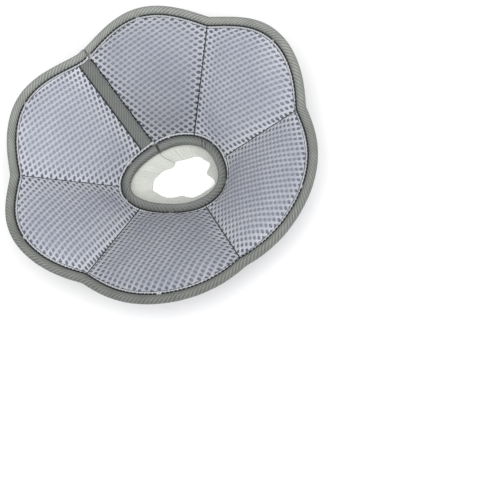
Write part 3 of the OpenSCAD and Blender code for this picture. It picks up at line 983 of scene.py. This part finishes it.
def make_tape(name, run, edge, w, front, back, twill):
    """One run of the tape round the rim (edge 1) or the neck (edge 0), with its stitches."""
    d, h, on_front, on_back, puckered = fold_section(w).T
    parts = []
    # Painted light on the tape's roll: darker at its sewn edges, lighter on its crests
    shape = lerp(*CREST_PAINTED_LIGHT[edge], on_front - on_back)
    for i, s in stations(run, edge):
        column = s[:, None]
        long = span(i, np.clip(column, 0, 1))
        place = lambda x: 1 - x / long if edge else x / long
        rise = h + front * on_front + back * under_flap(i, column) * on_back
        rise = rise + pucker_at(i + column) * puckered
        painted_light = shape * (np.interp(i + column, PAINTED_LIGHT_PLACE, RIM_PAINTED_LIGHT) if edge else 1)
        if edge == 0:
            # The tuck, with painted shade in its grooves
            tuck = tuck_at(i, column, d)
            rise = rise + tuck * on_front
            painted_light = painted_light * (1 - TUCK_SHADE * ramp(-tuck / TUCK_DEEP) * on_front)
        painted_light = painted_light**GAMMA + 0 * column
        rise = lerp(rise, np.minimum(rise, PRESSED), pressed(i, column, edge))
        ring = over(i, column, place(d), lift(i, column) + rise)
        column = column[pressed(i, s, edge) < PRESS_BARE]
        long = span(i, np.clip(column, 0, 1))
        beyond, height = SELVAGE_SECTION.T
        flat = place(w + beyond)
        selvage = over(i, column, flat, bed_height(i, column, flat) + height)
        sewn = place(w)
        seat = np.maximum(lift(i, column) + TAPE_TOP, bed_height(i, column, sewn) + SEAT_RISE)
        line = over(i, column, sewn, seat + STITCH_RISE)[:, 0]
        # Thin dark stitches past the selvage: thread, and painted shadow at the selvage's edge
        far = place(w + SELVAGE_LINE)
        outer_line = over(i, column, far, bed_height(i, column, far) + STITCH_RISE)[:, 0]
        lean = up(i, np.clip(column[:, 0], 0, 1))
        parts.append((ring, selvage, line, outer_line, lean, painted_light))
    rings, selvage, line, outer_line, lean, painted_lights = map(np.concatenate, zip(*parts, strict=True))
    along = run_length(rings[:, len(LEG_EDGE)]) + run[0][0] * RIM_RADIUS
    around_it = run_length(np.stack([d, h], 1))
    build = Build()
    build.swept(rings, 0, np.stack(np.broadcast_arrays(along[:, None], around_it), -1), painted_lights)
    build.swept(selvage, 2)
    build.sewn(line, lean, LINE_THREAD)
    build.sewn(outer_line, lean, OUTER_THREAD)
    piece = build.piece(name, [twill, THREAD_AND_SHADE, SELVAGE])
    attach(piece, run, TAPE_BEND)
    return piece


def make_bindings():
    for edge, title, node, w, front, back, twill in (
        (1, "rim_tape", "outer_binding", RIM_TAPE, RIM_ROLL, RIM_ROLL, TAPE),
        (0, "neck_tape", "neck_binding", NECK_TAPE, NECK_ROLL, 0, SHADED_TWILL),
    ):
        start = END_GAP / width(1, edge)
        end = 1 + STRIP_OVER / width(PANELS, edge)
        for k, run in enumerate(runs(start, end)):
            piece = make_tape(f"{title}_{k + 1}", run, edge, w, front, back, twill)
            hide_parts(*[f"{node}_{i}" for i, _, _ in run])


make_bindings()


# Tape on the flap's free edge, which lies on the first panel
LAP_LONG = span(1, 0.0)


def lap_length(d):
    first = span(1, np.maximum(d, 0) / width(1, 0.5))
    return np.where(d > 0, first, span(PANELS, 1 + np.minimum(d, 0) / width(PANELS, 0.5)))


def strip_points(p, h, v):
    """Points of the flap's tape at distance p from its fold and share v of its length."""
    d = STRIP_OVER - p
    long = lap_length(d)
    inset = 0.1 * MM
    t = lerp((NECK_TAPE + inset) / long, 1 - (RIM_TAPE + inset) / long, v)
    return lap(d, t, h + LAP_RISE)


def make_strip():
    d, h, _, _, puckered = fold_section(STRIP_W).T
    v = np.linspace(0, 1, 84)[:, None]
    rings = strip_points(d, h + pucker_at(3 * v) * puckered, v)
    around_it = run_length(np.stack([d, h], 1))
    along = run_length(rings[:, 4])
    build = Build()
    build.swept(rings, 0, np.stack(np.broadcast_arrays(along[:, None], around_it), -1))
    line = strip_points(STRIP_W, TAPE_TOP + STITCH_RISE, v)[:, 0]
    lean = np.broadcast_to(up(1, 0.0), line.shape)
    build.sewn(line, lean, STRIP_THREAD)
    strip = build.piece("flap_edge_tape", [SHADED_TWILL, THREAD_AND_SHADE])
    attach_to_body(strip, BODY[PANELS])
    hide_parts("flap_edge_binding")


make_strip()


def make_flap_line():
    """Stitches on the first panel along the flap's edge, which hold the tab under it. Their dark thread also
    stands for the flap's shadow there, as painted shade.
    """
    t = np.linspace(NECK_TAPE + MM, LAP_LONG - RIM_TAPE - MM, 90) / LAP_LONG
    s = (STRIP_OVER + 0.8 * MM) / width(1, t)
    line = over(1, s, t, front_height(1, s, t) + SEAT_RISE)
    build = Build()
    build.sewn(line, up(1, s), FLAP_THREAD, 0)
    piece = build.piece("flap_line", [THREAD_AND_SHADE])
    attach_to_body(piece, BODY[1])


make_flap_line()


# Seams between the panels: a narrow ribbon in the valley and a row of stitches on each side
def make_seam(i):
    _, out, front = seam_line(i)
    long = span(i, 1.0)
    t = np.linspace((NECK_TAPE - MM) / long, 1 - (RIM_TAPE - MM) / long, 80)
    middle = base(i, np.ones_like(t), t)
    aside = np.cross(out, front)
    lean = np.broadcast_to(front, middle.shape)
    half, top, low = 0.9 * MM, 0.02 * MM, -0.5 * MM
    section = [(-half, top), (0, top - 0.1 * MM), (half, top), (half, low), (0, low + 0.1 * MM), (-half, low)]
    rings = np.stack([middle + x * aside + y * front for x, y in section], 1)
    build = Build()
    build.swept(rings)
    for height, side in ((FRONT_0 + 0.35 * MM, 1), (-BACK_0 + 0.1 * MM, -1)):
        build.sewn(middle + height * front, side * lean, SEAM_THREAD[i - 1])
    piece = build.piece(f"seam_{i + 1}", [BACKING, THREAD_AND_SHADE])
    attach(piece, [(i, 0, 1), (i + 1, 0, 1)], SEAM_BEND)


for seam in range(1, PANELS):
    make_seam(seam)


# Cuff: a gathered sleeve of fine white knit, sewn in under the neck tape
CUFF_ROWS = 18
CUFF_TOP = TAPE_LOW - LAYER_GAP - CUFF_T
CUFF_LEAN = np.array([0.0065, 0.0005, 0])
CUFF_END = 0.2
CUFF_THINS = 4 * MM
CUFF_LAPS = (0.75, 0.95)
FOOT_RISE = 0.9
FOOT_WAVE = 0.45
FOOT_WAVES = 11
LAPPED_CUFF = CUFF_T + 0.15 * MM


def cuff_folds(x, r):
    """Fine gathers at the top and loose folds below, as a move inwards; x in panels, r from the top."""
    turn = 2 * math.pi / PANELS * x
    fine = np.sin(63 * turn + 1.7 * np.sin(14 * turn))
    loose = np.sin(8 * turn + 0.6) + 0.3 * np.sin(13 * turn + 2.0)
    drawn = 7.0 * bump(x, 3.12, 0.32) + 3.0 * bump(x, 3.8, 0.35)
    loose = 0.6 * loose * ramp((r - 0.15) / 0.85) + drawn * ramp(r)
    return MM * (0.42 * fine * ramp(r / 0.1) * (1 - 0.6 * r) + loose)


def cuff_thin(i, s):
    """Share of the cuff's thickness, which thins out at the end that laps over the first panel's."""
    if i < PANELS:
        return np.ones_like(s)
    past = (s - 1) * width(PANELS, 0.0)
    return lerp(1, CUFF_END, between(past, (STRIP_OVER - CUFF_THINS, STRIP_OVER)))


def cuff_grid(run):
    """The cuff's middle surface, the places along it in panels, and its thickness."""
    parts = []
    for i, s in stations(run, 0):
        column = s[:, None]
        long = span(i, column)
        height = CUFF_TOP + lift(i, column)
        sewn = over(i, column, CUFF_SEWN / long, height)
        lip = over(i, column, -CUFF_LIP / long, height)
        inward = unit(np.array([0, -NECK_SHIFT, 0]) - lip * [1, 1, 0])
        r = np.linspace(0, 1, CUFF_ROWS)
        draw = CUFF_TAPER * r**0.9 + cuff_folds(i + column, r)
        thin = cuff_thin(i, column)
        if i == PANELS:
            lapped = between(column, CUFF_LAPS) * ramp(r / 0.3)
            draw = draw + lapped * (LAPPED_CUFF - CUFF_T / 2 * (1 - thin))
        foot = MM * (FOOT_RISE + FOOT_WAVE * np.sin(2 * math.pi * FOOT_WAVES / PANELS * (i + column)))
        hung = lip + inward * draw[..., None] + CUFF_LEAN * (r**1.2)[:, None]
        hung[..., 2] = lerp(lip[..., 2], foot, r)
        parts.append((np.concatenate([sewn, hung], 1), i + s, CUFF_T * thin))
    return map(np.concatenate, zip(*parts, strict=True))


def make_cuff():
    first = END_GAP / width(1, 0.0)
    last = 1 + (STRIP_OVER - END_GAP) / width(PANELS, 0.0)
    for k, run in enumerate(runs(first, last)):
        middle, places, thick = cuff_grid(run)
        half = thick[..., None] / 2 * lean_of(middle)
        down = np.array([run_length(c) for c in middle])
        along = run_length(middle[:, 1]) + places[0]
        build = Build()
        build.sheet(middle + half, middle - half, np.stack(np.broadcast_arrays(along[:, None], down), -1))
        piece = build.piece(f"cuff_cloth_{k + 1}", [KNIT])
        attach(piece, run, CUFF_BEND)
        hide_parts(*[f"cuff_{i}" for i, _, _ in run])
        high = float(down[:, -1].mean())
        area_of(middle) / high


make_cuff()


# Closure under the flap: a tab with loop tape on the first panel, hook tape on the flap
def tab_top(d):
    return lerp(TAB_LOW, TAB_HIGH, ramp(-d / TAB_STEP))


def rounded(d, free, span_t, corner):
    """Shares t of the two sides at distance d, drawn in on a round at the free end."""
    x = np.clip((d - free) / corner, 0, 1)
    inset = corner * (1 - np.sqrt(1 - (1 - x) ** 2)) / LAP_LONG
    return span_t[0] + inset, span_t[1] - inset


def make_patch(ends, span_t, top, thick, corner):
    """One flat layer of the closure. The height of its top follows from d."""
    d = np.concatenate([ends[0] + corner * (1 - np.cos(np.linspace(0, math.pi / 2, 7)))[:-1],
                        np.linspace(ends[0] + corner, ends[1], 22)])
    first, last = rounded(d, ends[0], span_t, corner)
    t = lerp(first[:, None], last[:, None], np.linspace(0, 1, 22))
    d = np.broadcast_to(d[:, None], t.shape)
    build = Build()
    build.sheet(lap(d, t, top(d)), lap(d, t, top(d) - thick), np.stack([d, t * 0.1], -1))
    return build


HOOK_ENDS = (HOOK_INSET - TAB_REACH, -TAB_STEP)
HOOK_SPAN = (TAB_SPAN[0] + HOOK_INSET / LAP_LONG, TAB_SPAN[1] - HOOK_INSET / LAP_LONG)
LOOP_TOP = TAB_HIGH + LAYER_GAP + HOOK_T
HOOK_TOP = LAP_RISE - BACK_0 - LAYER_GAP
NAP = 0.35 * MM
NAP_ROWS = 1.6 * MM
NAP_PITCH = 1.5 * MM
NAP_SHIFT = 0.12 * MM
NAP_SEED = 7
FIBRE_POINTS = 5
FIBRE_SIDE = 0.13
FIBRE_RISE = 0.1
TAB_CORNER = 5 * MM
HOOK_CORNER = 2 * MM


def add_nap(build, height, rise, bend):
    """Short bent fibres in rows on a closure tape: bend 1 makes hooks, bend 2 closed loops."""
    rng = np.random.default_rng(NAP_SEED)
    rows = np.arange(HOOK_ENDS[0] + 1.2 * MM, HOOK_ENDS[1] - 0.8 * MM, NAP_ROWS)
    places = np.arange(HOOK_SPAN[0] * LAP_LONG + MM, HOOK_SPAN[1] * LAP_LONG - MM, NAP_PITCH) / LAP_LONG
    turn = math.pi * 0.5 * bend * np.linspace(0, 1, FIBRE_POINTS)
    x, y = NAP * 0.8 * (1 - np.cos(turn)), NAP * np.sin(turn)
    lift_up = up(1, 0.0) * FIBRE_RISE * MM
    for j, d in enumerate(rows):
        for t in places:
            shift = rng.normal(0, NAP_SHIFT, 2)
            t_here = t + (j % 2) * 0.75 * MM / LAP_LONG + shift[1] / LAP_LONG
            path = lap(d + shift[0] + x, np.full(FIBRE_POINTS, t_here), height + rise * y)
            side = unit(np.array(lap(d, t + 0.01, height)) - lap(d, t, height)) * FIBRE_SIDE * MM
            build.swept(np.stack([path + side, path + lift_up, path - side, path - lift_up], 1))


def make_fastener(name, cloth, top, rise, bend):
    """Hook or loop tape, with its nap on the side that meets the other one."""
    thick = HOOK_T - NAP
    build = make_patch(HOOK_ENDS, HOOK_SPAN, lambda d: 0 * d + top, thick, HOOK_CORNER)
    add_nap(build, top if rise > 0 else top - thick, rise, bend)
    return build.piece(name, [cloth])


def make_closure():
    tab = make_patch((-TAB_REACH, TAB_SEWN), TAB_SPAN, tab_top, TAB_T, TAB_CORNER)
    d = np.linspace(-TAB_REACH + TAB_CORNER, TAB_SEWN - MM, 60)
    inset = 1.2 * MM / LAP_LONG
    for t in (TAB_SPAN[0] + inset, TAB_SPAN[1] - inset):
        line = lap(d, np.full_like(d, t), tab_top(d) - TAB_T + 0.1 * MM)
        lean = np.broadcast_to(-up(1, 0.0), line.shape)
        tab.sewn(line, lean, TAB_THREAD, length=TAB_STITCH)
    tab = tab.piece("closure_tab_cloth", [TAPE, THREAD_AND_SHADE])
    loops = make_fastener("loop_tape_cloth", LOOPS, LOOP_TOP - NAP, 1, 2)
    hooks = make_fastener("hook_tape_cloth", HOOKS, HOOK_TOP, -1, 1.4)
    for piece, node, body, slot in (
        (tab, "closure_tab", BODY[1], "lining"), (loops, "loop_tape", BODY[1], "hook"),
        (hooks, "hook_tape", BODY[PANELS], "hook"),
    ):
        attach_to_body(piece, body)
        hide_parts(node)


make_closure()

# Camera at the photograph's angle
IMAGE = 484
FOCAL = 1264.0
TARGET_PIXEL = (166.4, 162.7)
TARGET = Vector((0, 0, 0.034))
DISTANCE = 1.0
VIEW_TILT = math.radians(30.73)
VIEW_ROLL = math.radians(31.83)
VIEW_TURN = math.radians(8.32)
SENSOR = 36.0


def make_camera():
    turns = ((-VIEW_TURN, "Z"), (VIEW_TILT, "X"), (-VIEW_ROLL, "Z"))
    turn, tilt, roll = (Matrix.Rotation(angle, 3, axis) for angle, axis in turns)
    right, above, back = (turn @ tilt @ roll).transposed()
    aside = (IMAGE / 2 - TARGET_PIXEL[0]) / FOCAL
    below = (IMAGE / 2 - TARGET_PIXEL[1]) / FOCAL
    axis = (back - aside * right + below * above).normalized()
    right = (right - right.dot(axis) * axis).normalized()
    above = axis.cross(right)
    data = bpy.data.cameras.new("camera")
    data.sensor_width = SENSOR
    data.lens = FOCAL * SENSOR / IMAGE
    camera = bpy.data.objects.new("camera", data)
    camera.matrix_world = Matrix((right, above, axis)).transposed().to_4x4()
    camera.location = TARGET + DISTANCE * back
    bpy.context.scene.collection.objects.link(camera)
    bpy.context.scene.camera = camera


make_camera()


# Floor and light
KEY_PLACE = Vector((-0.1, -0.75, 1.55))
KEY_AIM = Vector((0, 0, 0.03))
KEY_SIZE = 1.6
KEY_POWER = 35.5
SKY_STRENGTH = 0.5
FLOOR_HALF = 4.0
FLOOR_FADE = (0.2, 0.7)


def make_key():
    data = bpy.data.lights.new("key", "AREA")
    data.shape = "SQUARE"
    data.size = KEY_SIZE
    data.energy = KEY_POWER
    lamp = bpy.data.objects.new("key", data)
    lamp.location = KEY_PLACE
    lamp.rotation_euler = (KEY_AIM - KEY_PLACE).to_track_quat("-Z", "Y").to_euler()
    bpy.context.scene.collection.objects.link(lamp)


def floor_cloth():
    """Pale floor that keeps the shadow near the object and is plain white far from it."""
    look = Look("floor", 0.9)
    cloud = look.noise("Object", 3)
    look.finish(look.colour(cloud, (0.3, (249, 249, 249)), (0.7, (253, 253, 253))))
    away = look.node("ShaderNodeVectorMath", {0: look.place("Object")}, operation="LENGTH").outputs["Value"]
    near, past = FLOOR_FADE
    far = look.node("ShaderNodeMapRange", {"Value": away}, From_Min=near, From_Max=past).outputs[0]
    white = look.node("ShaderNodeEmission", Strength=1.0)
    seen = look.math("MULTIPLY", far, look.seen_directly())
    look.show_white(seen, look.shader, white, "Material Output")
    return look.material


def make_stage():
    build = Build()
    corners = np.array([(-1, -1, 0), (1, -1, 0), (1, 1, 0), (-1, 1, 0)])
    build.add(FLOOR_HALF * corners, [[0, 1, 2, 3]])
    build.piece("floor", [floor_cloth()], closed=False)
    world = bpy.data.worlds.new("studio")
    bpy.context.scene.world = world
    world.use_nodes = True
    look = Nodes(world.node_tree)
    sky = world.node_tree.nodes["Background"]
    sky.inputs["Color"].default_value = linear(WHITE)
    sky.inputs["Strength"].default_value = SKY_STRENGTH
    white = look.node("ShaderNodeBackground", Color=linear(WHITE))
    look.show_white(look.seen_directly(), sky, white, "World Output")
    make_key()
    bpy.context.scene.view_settings.view_transform = "Standard"


make_stage()
